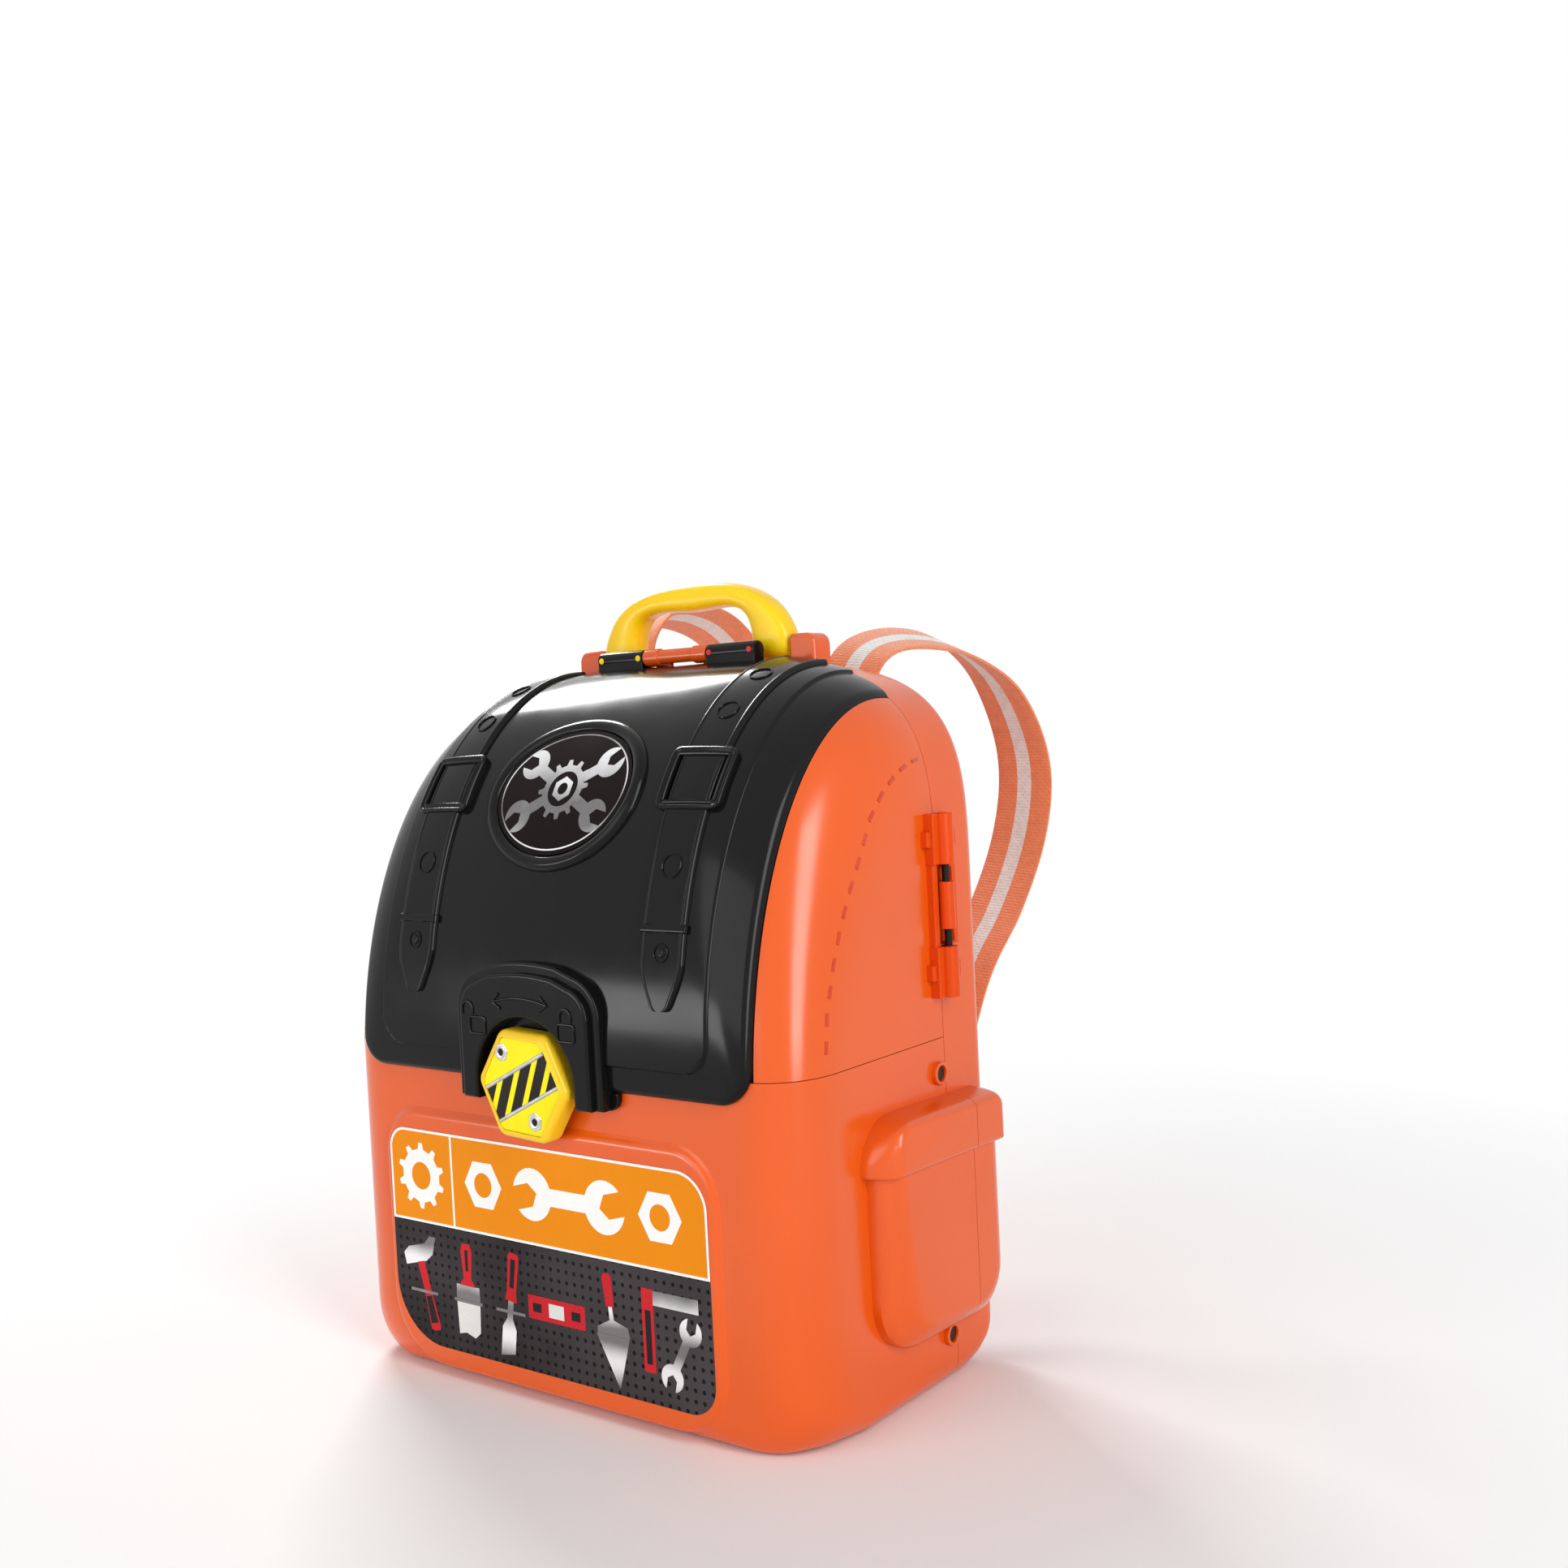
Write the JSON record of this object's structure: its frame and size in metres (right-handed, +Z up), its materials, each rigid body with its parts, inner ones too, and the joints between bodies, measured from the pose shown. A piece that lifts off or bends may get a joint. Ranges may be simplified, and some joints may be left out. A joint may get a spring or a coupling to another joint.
{
  "type": "toy tool backpack",
  "caption": "Moulded toy tool backpack with hinged front flap and wings, turn lock, fold-down carrying handle, side pockets and webbing shoulder straps.",
  "frame": {"origin": "middle of the case's footprint, on the flat underside of the bin", "axes": "+X to the case's right as its front is looked at, +Y from the front to the straps, +Z up"},
  "size_m": [0.2648, 0.2678, 0.3181],
  "materials": {
    "orange_plastic": "gloss",
    "black_plastic": "gloss",
    "yellow_plastic": "gloss",
    "steel": "satin",
    "webbing": "matte",
    "emblem": "gloss",
    "knob_print": "gloss"
  },
  "bodies": {
    "case": {"back_shell": "orange_plastic", "lower_front_shell": "orange_plastic", "lock_base": "black_plastic", "left_handle_bracket": "orange_plastic", "right_handle_bracket": "orange_plastic", "left_handle_pin": "steel", "right_handle_pin": "steel", "flap_hinge_pin": "steel", "left_hinge_pin": "steel", "right_hinge_pin": "steel", "left_low_screw": "steel", "left_high_screw": "steel", "right_low_screw": "steel", "right_high_screw": "steel", "left_strap": "webbing", "right_strap": "webbing", "left_strap_slider": "black_plastic", "right_strap_slider": "black_plastic", "left_top_anchor": "black_plastic", "right_top_anchor": "black_plastic", "left_low_anchor": "black_plastic", "right_low_anchor": "black_plastic"},
    "flap": {"front_flap": "black_plastic", "flap_lock_plate": "black_plastic", "emblem_disc": "emblem"},
    "left_wing_body": {"left_wing": "orange_plastic"},
    "right_wing_body": {"right_wing": "orange_plastic"},
    "lock_knob": {"knob": "yellow_plastic", "knob_face": "knob_print", "knob_washer": "steel", "knob_screw": "steel"},
    "carry_handle": {"handle": "yellow_plastic"}
  },
  "joints": [
    {"name": "flap_hinge", "type": "hinge", "parent": "case", "child": "flap", "pos_m": [0, 0.02775, 0.2877], "axis": [-1, 0, 0], "range_deg": [0, 105]},
    {"name": "left_wing_hinge", "type": "hinge", "parent": "case", "child": "left_wing_body", "pos_m": [-0.1233, 0.03275, 0.185], "axis": [0, 0, -1], "range_deg": [0, 100]},
    {"name": "right_wing_hinge", "type": "hinge", "parent": "case", "child": "right_wing_body", "pos_m": [0.1233, 0.03275, 0.185], "axis": [0, 0, 1], "range_deg": [0, 100]},
    {"name": "knob_turn", "type": "hinge", "parent": "case", "child": "lock_knob", "pos_m": [0, -0.06475, 0.126], "axis": [0, 1, 0], "range_deg": [-45, 45]},
    {"name": "handle_fold", "type": "hinge", "parent": "case", "child": "carry_handle", "pos_m": [0, 0.04175, 0.29], "axis": [-1, 0, 0], "range_deg": [0, 80]}
  ]
}
